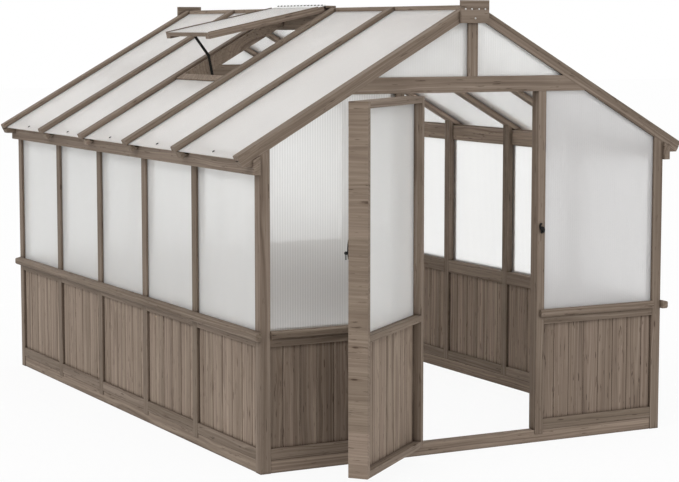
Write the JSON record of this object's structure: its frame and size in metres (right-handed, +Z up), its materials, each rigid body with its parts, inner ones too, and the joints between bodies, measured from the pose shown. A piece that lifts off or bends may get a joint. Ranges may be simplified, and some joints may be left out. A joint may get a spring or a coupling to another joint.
{
  "type": "greenhouse",
  "caption": "Walk-in timber greenhouse with boarded lower walls, translucent sheet glazing, a gable roof, a hinged door and a roof vent on a folding stay.",
  "frame": {"origin": "on the ground at the middle of the front wall, in the wall's centre plane under the doorway", "axes": "+X to the right seen from the front, +Y from the front wall to the back wall, +Z up"},
  "size_m": [2.632, 4.1559, 2.305],
  "materials": {
    "timber": "weathered grey-brown stain",
    "boards": "weathered grey-brown stain",
    "wall_sheet": "translucent twin-wall sheet",
    "roof_sheet": "translucent twin-wall sheet",
    "black_steel": "black powder coat",
    "bright_steel": "zinc plated"
  },
  "bodies": {
    "frame": {"base_beams_end": "timber", "base_beams_side": "timber", "corner_posts": "timber", "side_posts_left": "timber", "side_posts_right": "timber", "door_posts": "timber", "back_posts": "timber", "top_plates": "timber", "eave_boards": "timber", "collar_beams": "timber", "king_posts": "timber", "ridge_beam": "timber", "gable_rafters": "timber", "rafters_left": "timber", "rafters_right": "timber", "roof_caps_left": "timber", "roof_caps_right": "timber", "lower_rails_side": "timber", "lower_rails_end": "timber", "upper_rails_side": "timber", "upper_rails_end": "timber", "sills_side": "timber", "sills_front": "timber", "sill_back": "timber", "boards_left": "boards", "boards_right": "boards", "boards_front": "boards", "boards_back": "boards", "panes_left": "wall_sheet", "panes_right": "wall_sheet", "panes_front": "wall_sheet", "panes_back": "wall_sheet", "gable_panes": "wall_sheet", "roof_panes_left": "roof_sheet", "roof_panes_right": "roof_sheet", "peak_plates": "timber", "peak_screws": "bright_steel", "pane_bolts": "black_steel", "vent_curb": "timber", "vent_hinge_fixed": "bright_steel", "vent_hinge_pin": "bright_steel", "stay_foot": "black_steel", "latch_body": "black_steel", "door_hinge_fixed": "black_steel", "door_hinge_pins": "bright_steel"},
    "door": {"door_stiles": "timber", "door_rails": "timber", "door_boards": "boards", "door_pane": "wall_sheet", "door_hinge_leaves": "black_steel", "handle_plate": "black_steel"},
    "handle": {"handle_lever": "black_steel"},
    "vent": {"vent_side_rails": "timber", "vent_end_rails": "timber", "vent_pane": "roof_sheet", "vent_hinge_leaf": "black_steel", "stay_bracket": "black_steel"},
    "stay_lower": {"stay_lower_link": "black_steel"},
    "stay_upper": {"stay_upper_link": "black_steel"},
    "latch": {"latch_trigger": "black_steel"}
  },
  "joints": [
    {"name": "door_swing", "type": "hinge", "parent": "frame", "child": "door", "pos_m": [-0.398, -0.0335, 0.95], "axis": [0, 0, 1], "range_deg": [-5, 140]},
    {"name": "handle_turn", "type": "hinge", "parent": "door", "child": "handle", "pos_m": [-0.97819, -0.52752, 1.126], "axis": [-0.6428, 0.766, 0], "range_deg": [0, 90]},
    {"name": "latch_trip", "type": "hinge", "parent": "frame", "child": "latch", "pos_m": [0.416, -0.039, 1.128], "axis": [0, 1, 0], "range_deg": [0, 30]},
    {"name": "vent_lift", "type": "hinge", "parent": "frame", "child": "vent", "pos_m": [-0.06, 1.77325, 2.2945], "axis": [0, 1, 0], "range_deg": [-17.7, 0]},
    {"name": "stay_lower_fold", "type": "hinge", "parent": "frame", "child": "stay_lower", "pos_m": [-0.65363, 1.716, 1.8897], "axis": [0, 1, 0], "range_deg": [0, 64.25]},
    {"name": "stay_upper_fold", "type": "hinge", "parent": "vent", "child": "stay_upper", "pos_m": [-0.75428, 1.716, 2.11165], "axis": [0, 1, 0], "range_deg": [-61.74, 0]}
  ],
  "couplings": [
    {"joint": "stay_lower_fold", "follows": "vent_lift", "ratio": -3.6227},
    {"joint": "stay_upper_fold", "follows": "vent_lift", "ratio": 3.4811}
  ]
}
